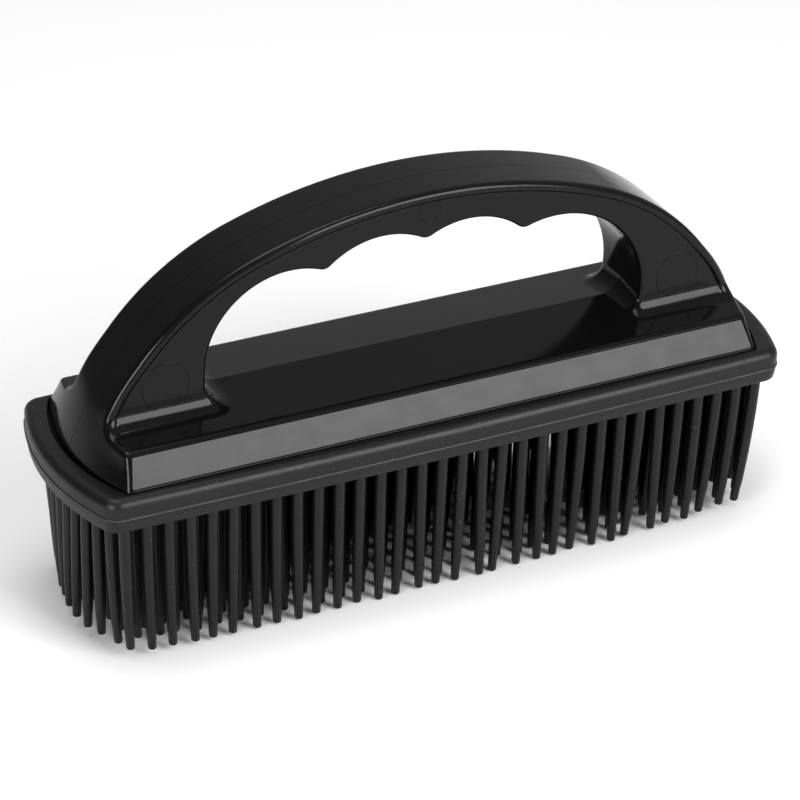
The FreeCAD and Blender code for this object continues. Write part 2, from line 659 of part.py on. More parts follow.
def handle_solid():
    """The whole outer shape of the handle, before it is hollowed and split."""
    whole = combine("MultiFuse", "handle_outside", loop("loop"), foot("foot", "foot_base"))
    roots = [leg_root(name, end, side) for name, end, side in LEG_ROOTS]
    rounded_grip = rounded("handle_grip", whole, "grip_edge_round", is_grip_edge)
    return combine("MultiFuse", "handle_solid", rounded_grip, *roots)


def handle_core():
    """The hollow inside the handle, open at the bottom."""
    inset = ("-wall",)
    return combine("MultiFuse", "handle_core", loop("loop_core", inset),
                   foot("foot_core", "foot_base - plate_gap", inset))


def half_space(name, side):
    """Everything on one side of the seam."""
    box = DOC.addObject("Part::Box", name)
    bind(box, "Length", "big")
    bind(box, "Width", "big / 2")
    bind(box, "Height", "big")
    bind(box, "Placement.Base.x", "-big / 2")
    bind(box, "Placement.Base.y", "0" if side == REAR else "-big / 2")
    bind(box, "Placement.Base.z", "0")
    return box


TOWARDS = {FRONT: FreeCAD.Vector(0, -1, 0), REAR: FreeCAD.Vector(0, 1, 0)}
UP = FreeCAD.Vector(0, 0, 1)
PINS = [("left", "-pin_x", "pin_height", "pin_radius"), ("right", "pin_x", "pin_height", "pin_radius"),
        ("top", "-finger_shift", "top_pin_height", "top_pin_radius")]
SCREWS = [(column, side) for side in ("-", "") for column in ("-screw_x", "0", "screw_x")]


def pin_rods(name, radius, length, side, start="0"):
    """Rods about the three locating pins' axes, from the seam towards one side."""
    rods = []
    for place, x, height, pin in PINS:
        rods.append(rod("%s_%s" % (name, place), "%s + %s" % (pin, radius), length,
                        x, start, "rim_top + " + height, TOWARDS[side]))
    return rods


def screw_rods(name, radius, length, level, only=None):
    """Upright rods about the screws' axes, from a level up, for one half or for both."""
    rods = []
    for number, (x, side) in enumerate(SCREWS):
        if only is None or (side == "-") == (only == FRONT):
            rods.append(rod("%s_%d" % (name, number), radius, length, x, side + "screw_y", level, UP))
    return rods


def handle_half(name, side, shell):
    """One moulded half: its share of the shell, screw bosses, and pins or sockets at the seam."""
    skin = combine("MultiCommon", name + "_skin", shell, half_space(name + "_side", side))
    collars = pin_rods(name + "_collar", "pin_collar", "arch_half_thick - wall / 2", side)
    bosses = screw_rods(name + "_boss", "boss_radius", "boss_height", "foot_base", side)
    joined = combine("MultiFuse", name + "_joined", skin, *collars, *bosses)
    holes = screw_rods(name + "_hole", "screw_hole_radius", "screw_length", "foot_base", side)
    if side == FRONT:
        holes += pin_rods(name + "_socket", "pin_gap", "pin_length + pin_gap", side)
        holes.append(DOC.getObject("label_strip"))
    drilled = combine("Cut", name + "_drilled", joined, combine("MultiFuse", name + "_holes", *holes))
    if side == REAR:
        pins = pin_rods(name + "_pin", "0", "pin_length + wall", REAR, "-pin_length")
        drilled = combine("MultiFuse", name, drilled, *pins)
    drilled.Label = name
    return drilled


def label_strip():
    """The thin strip let into the foot's sloping front, its ends parallel to the foot's corners."""
    body = new_body("label_strip")
    sketch = new_sketch(body, "strip_outline", "XZ_Plane", "foot_y")
    sketch.AttachmentOffset.Rotation = FreeCAD.Rotation(FreeCAD.Vector(1, 0, 0), -size("foot_lean"))
    bind(sketch, "AttachmentOffset.Base.y", "rim_top")
    bind(sketch, "AttachmentOffset.Rotation.Angle", "-foot_lean")
    low = size("strip_low")
    high = low + size("strip_width")
    corners = [point(-size("strip_x"), low), point(size("strip_x"), low),
               point(size("strip_top_x"), high), point(-size("strip_top_x"), high)]
    for index, corner in enumerate(corners):
        sketch.addGeometry(Part.LineSegment(corner, corners[(index + 1) % 4]))
    for index in range(4):
        constrain(sketch, "Coincident", index, END, (index + 1) % 4, START)
    constrain(sketch, "Symmetric", 0, START, 0, END, UPRIGHT)
    constrain(sketch, "Symmetric", 2, START, 2, END, UPRIGHT)
    dimension(sketch, "DistanceX", (*ORIGIN, 0, END), "strip_x")
    dimension(sketch, "DistanceX", (*ORIGIN, 2, START), "strip_top_x")
    dimension(sketch, "DistanceY", (*ORIGIN, 0, END), "strip_low")
    dimension(sketch, "DistanceY", (*ORIGIN, 2, START), "strip_low", "strip_width")
    sheet = body.newObject("PartDesign::Pad", "strip_sheet")
    sheet.Profile = sketch
    sheet.SideType = "Two sides"
    bind(sheet, "Length", "strip_proud")
    bind(sheet, "Length2", "strip_sunk")
    return body


def backing_plate():
    """The stiff plate inside the rubber, with a countersunk hole for each screw."""
    slab = bowed_slab("plate_blank", "plate_level", "plate_thick",
                      ("rim_corner_x", "-plate_edge", "-plate_gap"),
                      ("rim_corner_y", "-plate_edge", "-plate_gap"),
                      ("rim_apex_x", "-plate_edge", "-plate_gap"),
                      ("rim_apex_y", "-plate_edge", "-plate_gap"),
                      "rim_corner_round - plate_edge - plate_gap")
    holes = screw_rods("plate_hole", "screw_hole_radius", "plate_thick", "plate_level")
    sinks = [sink("plate_sink_%d" % number, *place) for number, place in enumerate(SCREWS)]
    plate = combine("Cut", "backing_plate", slab, combine("MultiFuse", "plate_holes", *holes, *sinks))
    plate.Label = "backing_plate"
    return plate


def sink(name, x, side):
    """The countersink for one screw's head, in the underside of the plate."""
    cone = DOC.addObject("Part::Cone", name)
    bind(cone, "Radius1", "screw_head_radius + pin_gap")
    bind(cone, "Radius2", "screw_hole_radius")
    bind(cone, "Height", "screw_head_height")
    bind(cone, "Placement.Base.x", x)
    bind(cone, "Placement.Base.y", side + "screw_y")
    bind(cone, "Placement.Base.z", "plate_level")
    return cone


def plate_screws():
    """Six countersunk self-tapping screws, separate solids in one node."""
    body = new_body("plate_screw")
    sketch = new_sketch(body, "screw_section", "XZ_Plane")
    level = size("plate_level")
    tip = level + size("screw_length")
    taper = size("screw_radius")
    neck = level + size("screw_head_height")
    outline = [point(0, level), point(size("screw_head_radius"), level), point(taper, neck),
               point(taper, tip - taper), point(0, tip)]
    for index, corner in enumerate(outline):
        sketch.addGeometry(Part.LineSegment(corner, outline[(index + 1) % 5]))
    for index in range(5):
        constrain(sketch, "Coincident", index, END, (index + 1) % 5, START)
    constrain(sketch, "Horizontal", 0)
    constrain(sketch, "Vertical", 2)
    constrain(sketch, "Vertical", 4)
    constrain(sketch, "PointOnObject", 4, END, UPRIGHT)
    dimension(sketch, "DistanceY", (*ORIGIN, 0, START), "plate_level")
    dimension(sketch, "DistanceX", (*ORIGIN, 0, END), "screw_head_radius")
    dimension(sketch, "DistanceX", (*ORIGIN, 1, END), "screw_radius")
    dimension(sketch, "DistanceY", (*ORIGIN, 1, END), "plate_level", "screw_head_height")
    dimension(sketch, "DistanceY", (*ORIGIN, 3, END), "plate_level", "screw_length")
    dimension(sketch, "DistanceY", (2, END, 3, END), "screw_radius")
    turned = body.newObject("PartDesign::Revolution", "screw_turned")
    turned.Profile = sketch
    turned.ReferenceAxis = (sketch, ["V_Axis"])
    turned.Angle = 360
    hexagon = new_sketch(body, "driver_outline", "XY_Plane", "plate_level")
    driver_outline(hexagon)
    recess = body.newObject("PartDesign::Pocket", "driver_recess")
    recess.Profile = hexagon
    recess.Reversed = True
    bind(recess, "Length", "driver_depth")
    DOC.recompute()
    feature = DOC.addObject("Part::Feature", "backing_plate_screws")
    feature.Label = "backing_plate_screws"
    columns = (-size("screw_x"), 0, size("screw_x"))
    feature.Shape = Part.makeCompound([body.Shape.translated(point(x, y)) for x in columns
                                       for y in (-size("screw_y"), size("screw_y"))])
    return feature


def driver_outline(sketch):
    """A regular hexagon about the origin."""
    radius = size("driver_radius")
    corners = [point(radius * math.cos(math.radians(60 * k)), radius * math.sin(math.radians(60 * k)))
               for k in range(6)]
    for index, corner in enumerate(corners):
        sketch.addGeometry(Part.LineSegment(corner, corners[(index + 1) % 6]))
    circle = sketch.addGeometry(Part.Circle(point(0, 0), UP, radius), True)
    constrain(sketch, "Coincident", circle, CENTRE, *ORIGIN)
    dimension(sketch, "Radius", (circle,), "driver_radius")
    for index in range(6):
        constrain(sketch, "Coincident", index, END, (index + 1) % 6, START)
        constrain(sketch, "PointOnObject", index, START, circle)
    for index in range(1, 6):
        constrain(sketch, "Equal", 0, index)
    constrain(sketch, "PointOnObject", 0, START, ALONG)


def check(parts):
    """Stops if any object failed to rebuild, or if a part isn't made of sound solids."""
    failed = [item.Name for item in DOC.Objects if {"Invalid", "Error"} & set(item.State)]
    if failed:
        raise RuntimeError("failed to rebuild: " + ", ".join(failed))
    for part in parts:
        shape = part.Shape
        if shape.isNull() or not shape.isValid() or not shape.Solids:
            raise RuntimeError(part.Label + " has no sound solid")


def main():
    fill_sheet()
    strip = label_strip()
    shell = combine("Cut", "handle_shell", handle_solid(), handle_core())
    parts = [strip, handle_half("handle_front_half", FRONT, shell),
             handle_half("handle_rear_half", REAR, shell), backing_plate(), plate_screws(), rubber_pad()]
    parts += [bristle_row(row) for row in range(int(size("row_count")))]
    DOC.recompute()
    check(parts)
    os.makedirs("parts", exist_ok=True)
    for part in parts:
        part.Shape.exportStep("parts/%s.step" % part.Label)
        print("%-22s %2d solids %9.1f mm3" % (part.Label, len(part.Shape.Solids), part.Shape.Volume))


main()
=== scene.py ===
"""Looks of the rubber curry brush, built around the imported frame.

Lengths inside the shape functions are in millimetres, in the frame's axes, and add_mesh() turns
them into metres. The handle is modelled as a signed distance field and meshed by a surface net.
"""

import math

import bpy
import numpy as np
from mathutils import Matrix, Vector


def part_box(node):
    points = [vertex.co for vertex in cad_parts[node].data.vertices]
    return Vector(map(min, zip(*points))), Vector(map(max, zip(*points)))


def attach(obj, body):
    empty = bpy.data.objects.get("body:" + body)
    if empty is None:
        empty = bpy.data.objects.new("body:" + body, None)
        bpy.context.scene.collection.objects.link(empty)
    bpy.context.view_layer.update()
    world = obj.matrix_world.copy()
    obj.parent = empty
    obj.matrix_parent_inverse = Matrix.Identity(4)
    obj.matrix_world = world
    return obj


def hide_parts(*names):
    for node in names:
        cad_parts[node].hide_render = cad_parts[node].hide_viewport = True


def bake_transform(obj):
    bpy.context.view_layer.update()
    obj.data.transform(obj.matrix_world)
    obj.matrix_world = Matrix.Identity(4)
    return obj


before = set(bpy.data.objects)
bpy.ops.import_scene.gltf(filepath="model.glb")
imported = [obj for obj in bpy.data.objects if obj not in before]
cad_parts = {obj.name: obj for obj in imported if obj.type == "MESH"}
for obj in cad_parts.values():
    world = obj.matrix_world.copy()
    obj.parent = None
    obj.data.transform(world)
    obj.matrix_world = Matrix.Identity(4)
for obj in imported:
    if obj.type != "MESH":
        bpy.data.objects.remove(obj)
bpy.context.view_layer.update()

MM = 0.001


def box_mm(node):
    """A CAD node's lowest and highest corners, in millimetres."""
    low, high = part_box(node)
    return np.array(low) / MM, np.array(high) / MM


# Levels and sizes that come from the frame.
PAD_LOW, PAD_HIGH = box_mm("rubber_pad")
ROWS = sorted(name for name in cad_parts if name.startswith("bristle_row_"))
UNDERSIDE = PAD_LOW[2]
RIM_TOP = PAD_HIGH[2]

# Rubber rim.
RIM_CORNER_X = 88.0
RIM_CORNER_Y = 26.4
RIM_CORNER_ROUND = 4.4

# Foot of the handle. Heights are above the rim's top.
FOOT_X = 82.7
FOOT_Y = 23.6
FOOT_BOW = 5.2
FOOT_EDGE_HEIGHT = 7.6
FOOT_TOP_X = 81.2
FOOT_TOP_Y = 19.3
FOOT_TOP_BOW = 3.6
ROOF_HEIGHT = 10.05
SKIRT_DEPTH = 2.5
FOOT_EDGE_ROUND = 0.8
# The end face narrows with height up to this many times FOOT_EDGE_HEIGHT.
NARROWING_LIMIT = 1.3

# Loop of the handle.
ARCH_HEIGHT = 52.8
ARCH_RADIUS = 133.0
SHOULDER_RADIUS = 66.0
ARCH_REACH = 85.7
ARCH_SINK = 2.0
ARCH_HALF = 9.9
ARCH_EDGE_ROUND = 1.0
LOOP_EDGE_ROUND = 1.4
LOOP_EDGE_FLOW = (7.0, 13.0)
BEAD_WIDTH = 1.9
BEAD_STEP = 0.6
BEAD_HEIGHT = 0.4
LEG_ROOT_ROUND = 4.6
LEG_ROOT_CREASE = math.radians(25)
BAND_FLOW = (3.0, 24.0)

# Finger opening.
WINDOW_HALF = 57.5
WINDOW_FLOOR = 9.3
WINDOW_CORNER = 5.6
WINDOW_OVERLAP = 1.0
FINGER_SHIFT = 1.6
OUTER_FINGER_X = 34.6
OUTER_FINGER_TOP = 39.7
INNER_FINGER_X = 11.1
INNER_FINGER_TOP = 43.7
INNER_FINGER_RADIUS = 21.3
CUSP_ROUND = 1.4

# Each finger hollow from left to right: side, distance from the middle and top.
FINGERS = [
    (-1, OUTER_FINGER_X, OUTER_FINGER_TOP),
    (-1, INNER_FINGER_X, INNER_FINGER_TOP),
    (1, INNER_FINGER_X, INNER_FINGER_TOP),
    (1, OUTER_FINGER_X, OUTER_FINGER_TOP),
]

# Faint round moulding marks on the side faces: x, height, radius.
MARKS = [(-67.6, 17.1, 6.0), (67.6, 17.1, 6.0), (-1.3, 48.1, 3.0)]
MARK_WIDTH = 0.32
MARK_PROUD = 0.07
MARK_SUNK = 0.3
MARK_STEPS = 72

# Half the width of the groove between the two halves.
SEAM_GAP = 0.06

# The surface net's cell and half length, and its reach past the seam and above the loop.
NET_STEP = 0.47
NET_HALF_LENGTH = 90.0
NET_PAST_SEAM = 1.0
NET_ABOVE = 1.5

# Settling onto a field: rounds, probe distance, longest move and smallest squared slope.
SETTLE_ROUNDS = 5
SETTLE_PROBE = 0.01
SETTLE_MOVE = 0.3
SETTLE_SLOPE = 0.2

SHARP_ANGLE = math.radians(50)


# Distance fields. Each is negative inside the solid.


def circle_field(x, z, middle_x, middle_z, radius):
    return np.hypot(x - middle_x, z - middle_z) - radius


def rounded_meet(first, second, radius):
    """What lies in both fields, with the edge between them rounded."""
    corner = np.hypot(np.maximum(first + radius, 0), np.maximum(second + radius, 0))
    return np.minimum(-radius, np.maximum(first, second)) + corner


def filleted_join(first, second, radius):
    """What lies in either field, with a hollow fillet between them."""
    corner = np.hypot(np.maximum(radius - first, 0), np.maximum(radius - second, 0))
    return np.maximum(radius, np.minimum(first, second)) - corner


def shoulder_centre():
    """Centre of the shoulder arc: inside the top arc, and through the loop's end on the foot."""
    top = np.array([0.0, ARCH_HEIGHT - ARCH_RADIUS])
    end = np.array([ARCH_REACH, ARCH_SINK])
    across = end - top
    gap = np.hypot(*across)
    first = ARCH_RADIUS - SHOULDER_RADIUS
    along = (first ** 2 - SHOULDER_RADIUS ** 2 + gap ** 2) / (2 * gap)
    aside = math.sqrt(first ** 2 - along ** 2)
    unit = across / gap
    return top, top + unit * along + np.array([-unit[1], unit[0]]) * aside


def outer_profile(x, z):
    """Distance from the loop's outer profile: one arc over the top, a tighter one each side."""
    top, shoulder = shoulder_centre()
    aside = np.abs(x)
    lean = shoulder - top
    beyond = (aside - top[0]) * lean[1] - (z - top[1]) * lean[0] > 0
    over_top = circle_field(aside, z, *top, ARCH_RADIUS)
    over_shoulder = circle_field(aside, z, *shoulder, SHOULDER_RADIUS)
    return np.where(beyond, over_shoulder, over_top)


def finger_radius(aside, middle):
    """Radius of a finger hollow: an outer one ends where the opening's side wall stands."""
    return WINDOW_HALF - abs(middle) if aside == OUTER_FINGER_X else INNER_FINGER_RADIUS


def window_profile(x, z):
    """Distance from the finger opening: four round hollows over a block with rounded corners."""
    solid, blocks = None, []
    for side, aside, top in FINGERS:
        middle = side * aside - FINGER_SHIFT
        radius = finger_radius(aside, middle)
        level = top - radius
        hollow = circle_field(x, z, middle, level, radius)
        solid = -hollow if solid is None else rounded_meet(solid, -hollow, CUSP_ROUND)
        block = rounded_meet(side * x - WINDOW_HALF, WINDOW_FLOOR - z, WINDOW_CORNER)
        blocks.append(np.maximum(np.maximum(block, z - level), -side * x - WINDOW_OVERLAP))
    return np.minimum(-solid, np.minimum(blocks[0], blocks[-1]))


def step_up(value, start, end):
    """A smooth step from 0 to 1."""
    share = np.clip((value - start) / (end - start), 0, 1)
    return share * share * (3 - 2 * share)


def end_face(x, y, z):
    """Distance from the foot's bowed end, which leans in towards its top."""
    share = np.maximum(z, 0) / FOOT_EDGE_HEIGHT
    corner = FOOT_X + (FOOT_TOP_X - FOOT_X) * share
    bow = FOOT_BOW + (FOOT_TOP_BOW - FOOT_BOW) * share
    half = FOOT_Y + (FOOT_TOP_Y - FOOT_Y) * np.minimum(share, NARROWING_LIMIT)
    steep = np.sqrt(1 + (2 * bow * y / half ** 2) ** 2)
    return (np.abs(x) - corner - bow * (1 - (y / half) ** 2)) / steep


def outer_face(x, y, z):
    """Distance from the outer skin: the foot's bowed end, flowing up into the loop's flat band."""
    share = step_up(z, *BAND_FLOW)
    return end_face(x, y, z) * (1 - share) + outer_profile(x, z) * share


def roof_slope():
    """Angle of the roof's two flat slopes, which meet in a ridge along the seam."""
    return math.atan2(ROOF_HEIGHT - FOOT_EDGE_HEIGHT, FOOT_TOP_Y)


def foot_field(y, z):
    """The foot without its ends: leaning sides under a ridged roof."""
    lean = math.atan2(FOOT_Y - FOOT_TOP_Y, FOOT_EDGE_HEIGHT)
    leaning = (np.abs(y) - FOOT_Y) * math.cos(lean) + z * math.sin(lean)
    side = np.where(z > 0, leaning, np.abs(y) - FOOT_Y)
    roof = (z - ROOF_HEIGHT) * math.cos(roof_slope()) + np.abs(y) * math.sin(roof_slope())
    return rounded_meet(side, roof, FOOT_EDGE_ROUND)


def crease_level():
    """Level of the crease where a leg's root fillet meets the leg's recessed side face."""
    reach = LEG_ROOT_ROUND * (1 - math.sin(LEG_ROOT_CREASE))
    aside = (ARCH_HALF - BEAD_HEIGHT) * math.sin(roof_slope())
    return ROOF_HEIGHT + (reach - aside) / math.cos(roof_slope())


def side_half(outer):
    """Half the loop's thickness: a proud border bead around a recessed face."""
    return ARCH_HALF - BEAD_HEIGHT * step_up(-outer, BEAD_WIDTH, BEAD_WIDTH + BEAD_STEP)


def handle_field(places):
    """The whole handle: loop and foot joined by hollow fillets.

    The fillets leave a crease on the legs' side faces and run smoothly into the opening's walls.
    """
    x, y, z = places[..., 0], places[..., 1], places[..., 2]
    outer = outer_face(x, y, z)
    sides = np.abs(y) - side_half(outer)
    walls = -window_profile(x, z)
    loop = rounded_meet(walls, sides, ARCH_EDGE_ROUND)
    set_back = LEG_ROOT_ROUND * (1 - math.cos(LEG_ROOT_CREASE))
    thinner = rounded_meet(walls, sides + set_back, ARCH_EDGE_ROUND)
    whole = np.minimum(loop, filleted_join(thinner, foot_field(y, z), LEG_ROOT_ROUND))
    edge_round = FOOT_EDGE_ROUND + (LOOP_EDGE_ROUND - FOOT_EDGE_ROUND) * step_up(z, *LOOP_EDGE_FLOW)
    whole = rounded_meet(whole, outer, edge_round)
    return np.maximum(whole, -SKIRT_DEPTH - z)


# Surface net


CORNERS = [(i, j, k) for i in (0, 1) for j in (0, 1) for k in (0, 1)]
EDGES = [(a, b) for a in range(8) for b in range(a + 1, 8)
         if sum(abs(p - q) for p, q in zip(CORNERS[a], CORNERS[b])) == 1]


def surface_net(field, low, high, step):
    """Vertices, quads and a sideways flag per vertex of the surface where the field is zero.

    The flag tells whether the surface also crosses the vertex's cell along x or z.
    """
    counts = np.ceil((high - low) / step).astype(int) + 1
    axes = [low[a] + step * np.arange(counts[a]) for a in range(3)]
    grid = np.stack(np.meshgrid(*axes, indexing="ij"), axis=-1)
    values = field(grid)
    inside = values < 0
    cells = np.zeros(tuple(counts - 1), int)
    for i, j, k in CORNERS:
        cells += inside[i:counts[0] - 1 + i, j:counts[1] - 1 + j, k:counts[2] - 1 + k]
    active = np.argwhere((cells > 0) & (cells < 8))
    number = np.full(tuple(counts - 1), -1)
    number[tuple(active.T)] = np.arange(len(active))
    corner_values = np.stack([values[tuple((active + c).T)] for c in CORNERS], axis=1)
    total = np.zeros((len(active), 3))
    count = np.zeros(len(active))
    sideways = np.zeros(len(active), bool)
    for a, b in EDGES:
        first, second = corner_values[:, a], corner_values[:, b]
        crossed = (first < 0) != (second < 0)
        share = np.where(crossed, first / np.where(crossed, first - second, 1), 0)
        place = np.array(CORNERS[a]) + share[:, None] * (np.array(CORNERS[b]) - np.array(CORNERS[a]))
        total += place * crossed[:, None]
        count += crossed
        if CORNERS[a][1] == CORNERS[b][1]:
            sideways |= crossed
    vertices = low + step * (active + total / count[:, None])
    quads = []
    for axis in range(3):
        ahead = np.roll(inside, -1, axis)
        crossing = inside != ahead
        trimmed = [slice(1, -1)] * 3
        edges = np.argwhere(crossing[tuple(trimmed)]) + 1
        outwards = inside[tuple(edges.T)]
        second, third = (axis + 1) % 3, (axis + 2) % 3
        ring = []
        for back_two, back_three in ((1, 1), (0, 1), (0, 0), (1, 0)):
            cell = edges.copy()
            cell[:, second] -= back_two
            cell[:, third] -= back_three
            ring.append(number[tuple(cell.T)])
        ring = np.stack(ring, axis=1)
        ring[~outwards] = ring[~outwards][:, ::-1]
        quads.append(ring)
    return vertices, np.concatenate(quads), sideways


def settle(field, vertices, free=(1, 1, 1)):
    """Moves the vertices along the field's gradient, in the free axes, onto its surface."""
    for _ in range(SETTLE_ROUNDS):
        value = field(vertices)
        slope = np.stack([(field(vertices + offset) - field(vertices - offset)) / (2 * SETTLE_PROBE)
                          for offset in np.eye(3) * SETTLE_PROBE], axis=1) * free
        size = np.maximum((slope ** 2).sum(axis=1), SETTLE_SLOPE)
        move = slope * (value / size)[:, None]
        vertices = vertices - np.clip(move, -SETTLE_MOVE, SETTLE_MOVE)
    return vertices


# Mesh helpers


def add_mesh(name, vertices, faces, material, body=None, smooth=True):
    """A mesh piece from vertices in millimetres."""
    mesh = bpy.data.meshes.new(name)
    mesh.from_pydata((np.asarray(vertices, float) * MM).tolist(), [], [tuple(f) for f in faces])
    mesh.validate()
    mesh.update()
    piece = bpy.data.objects.new(name, mesh)
    bpy.context.scene.collection.objects.link(piece)
    mesh.materials.append(material)
    if smooth:
        mesh.shade_smooth()
    if body:
        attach(piece, body)
    return piece


def quads_between(ring_count, size):
    """Quads between each ring of vertices and the next one, where every ring has the same size."""
    return [(ring * size + step, ring * size + (step + 1) % size,
             (ring + 1) * size + (step + 1) % size, (ring + 1) * size + step)
            for ring in range(ring_count - 1) for step in range(size)]


def handle_halves(material):
    """Both moulded halves, which mirror each other across the seam.

    They touch inside and leave a shallow groove at the surface. The net's planes stand half a step
    off the seam and off the crease above the foot, so that both lie in the middle of a cell.
    """
    layers = math.ceil(FOOT_Y / NET_STEP) + 2
    levels = math.ceil((crease_level() + SKIRT_DEPTH) / NET_STEP) + 1
    low = np.array([-NET_HALF_LENGTH, -SEAM_GAP - (layers + 0.5) * NET_STEP,
                    crease_level() - (levels + 0.5) * NET_STEP])
    high = np.array([NET_HALF_LENGTH, NET_PAST_SEAM, ARCH_HEIGHT + NET_ABOVE])

    def front_field(places):
        return np.maximum(handle_field(places), places[..., 1] + SEAM_GAP)

    vertices, quads, sideways = surface_net(front_field, low, high, NET_STEP)
    at_seam = vertices[:, 1] > -SEAM_GAP - NET_STEP / 2
    vertices[~at_seam] = settle(handle_field, vertices[~at_seam])
    vertices[at_seam, 1] = -SEAM_GAP
    edge = at_seam & sideways
    vertices[edge] = settle(handle_field, vertices[edge], (1, 0, 1))
    vertices[at_seam & ~sideways, 1] = 0
    vertices = vertices + np.array([0, 0, RIM_TOP])
    front = add_mesh("handle_front_moulding", vertices, quads, material, "brush")
    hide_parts("handle_front_half")
    mirrored = vertices * np.array([1, -1, 1])
    rear = add_mesh("handle_rear_moulding", mirrored, quads[:, ::-1], material, "brush")
    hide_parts("handle_rear_half")
    for piece in (front, rear):
        piece.data.set_sharp_from_angle(angle=SHARP_ANGLE)


def mark_rings(material):
    """The thin proud rings of the round moulding marks, on both side faces."""
    section = [(0.0, -MARK_SUNK), (MARK_WIDTH, -MARK_SUNK), (MARK_WIDTH, MARK_PROUD / 2),
               (MARK_WIDTH * 0.7, MARK_PROUD), (MARK_WIDTH * 0.3, MARK_PROUD), (0.0, MARK_PROUD / 2)]
    count = len(section)
    for side, name in ((-1, "front"), (1, "rear")):
        vertices, faces = [], []
        for middle_x, middle_z, radius in MARKS:
            first = len(vertices)
            for step in range(MARK_STEPS):
                angle = 2 * math.pi * step / MARK_STEPS
                for inset, proud in section:
                    reach = radius - inset
                    vertices.append((middle_x + reach * math.cos(angle),
                                     side * (ARCH_HALF - BEAD_HEIGHT + proud),
                                     RIM_TOP + middle_z + reach * math.sin(angle)))
            for step in range(MARK_STEPS):
                here = first + step * count
                after = first + (step + 1) % MARK_STEPS * count
                for corner in range(count):
                    following = (corner + 1) % count
                    quad = (here + corner, after + corner, after + following, here + following)
                    faces.append(quad if side < 0 else quad[::-1])
        piece = add_mesh("handle_%s_marks" % name, vertices, faces, material, "brush")


# The rubber pad

RIM_END_BOW = 5.6
RIM_SIDE_BOW = 1.0
RIM_TOP_ROUND = 2.3
RIM_TOP_STEPS = 10
RIM_LOW_ROUND = 0.8
RIM_LOW_STEPS = 6
RIM_LOW_INSET = 0.35
RIM_LOW_FLOW = 2.0
RIM_LOW_SHARES = (0.6, 0.3)
RIM_FLOOR_INSET = 4.0
FLASH_DROP = 4.8
FLASH_PROUD = 0.22
FLASH_HALF = 0.14
# The flash line's section from below: shares of how proud it stands and of its half width.
FLASH_SECTION = [(0, -2), (0, -1.2), (0.8, -0.8), (1, -0.4), (1, 0.4), (0.8, 0.8), (0, 1.2), (0, 2)]
MOUTH_GAP = 0.15
MOUTH_END_GAP = 0.7
MOUTH_SIDE_BOW = 0.02
MOUTH_ROUND = 0.5
LIP_ROUND = 0.4
LIP_STEPS = 5
# Steps along a long side, a bowed end and a corner of the pad's outline.
OUTLINE_STEPS = (120, 48, 12)
# Rounds of closing in on the centre of a corner's arc.
CORNER_ROUNDS = 30


def bow_circle(half_chord, level, bow):
    """Level of the centre and radius of an arc that bulges past a chord at the given level."""
    radius = (half_chord ** 2 + bow ** 2) / (2 * bow)
    return level + bow - radius, radius


def bowed_outline(corner_x, corner_y, end_bow, side_bow, corner_round, side_count, end_count, turns):
    """Points and outward normals around a bowed rectangle with rounded corners, anticlockwise."""
    end_centre, end_radius = bow_circle(corner_y, corner_x, end_bow)
    side_centre, side_radius = bow_circle(corner_x, corner_y, side_bow)
    end_inner, side_inner = end_radius - corner_round, side_radius - corner_round
    # Where the two inset arcs cross: the centre of the corner's own arc.
    x, y = corner_x - corner_round, corner_y - corner_round
    for _ in range(CORNER_ROUNDS):
        x = end_centre + math.sqrt(end_inner ** 2 - y ** 2)
        y = side_centre + math.sqrt(side_inner ** 2 - x ** 2)
    end_angle = math.atan2(y, x - end_centre)
    side_angle = math.atan2(y - side_centre, x)
    points, normals = [], []

    def run(centre_x, centre_y, radius, start, finish, count):
        for step in range(count):
            angle = start + (finish - start) * step / count
            normal = np.array([math.cos(angle), math.sin(angle)])
            points.append(np.array([centre_x, centre_y]) + radius * normal)
            normals.append(normal)

    # The first half of the outline, then the same turned by half a turn.
    for sign, turned in ((1, 0), (-1, math.pi)):
        far = turned + math.pi
        run(sign * end_centre, 0, end_radius, turned - end_angle, turned + end_angle, end_count)
        run(sign * x, sign * y, corner_round, turned + end_angle, turned + side_angle, turns)
        run(0, sign * side_centre, side_radius, turned + side_angle, far - side_angle, side_count)
        run(-sign * x, sign * y, corner_round, far - side_angle, far - end_angle, turns)
    return np.array(points), np.array(normals)


def quarter(count):
    """Angles from 0 to a quarter turn."""
    return [math.pi / 2 * step / count for step in range(count + 1)]


def rim_section():
    """The rim's outer section from below to the top: how far in from the outline, and the level."""
    depth = PAD_HIGH[2] - PAD_LOW[2]
    section = [(RIM_FLOOR_INSET, -depth)]
    for angle in quarter(RIM_LOW_STEPS):
        inset = RIM_LOW_INSET + RIM_LOW_ROUND * (1 - math.sin(angle))
        section.append((inset, -depth + RIM_LOW_ROUND * (1 - math.cos(angle))))
    for share in RIM_LOW_SHARES:
        section.append((RIM_LOW_INSET * share, -depth + RIM_LOW_ROUND + RIM_LOW_FLOW * (1 - share)))
    for proud, aside in FLASH_SECTION:
        section.append((-FLASH_PROUD * proud, -FLASH_DROP + FLASH_HALF * aside))
    for angle in quarter(RIM_TOP_STEPS):
        section.append((RIM_TOP_ROUND * (1 - math.cos(angle)), -RIM_TOP_ROUND * (1 - math.sin(angle))))
    return section


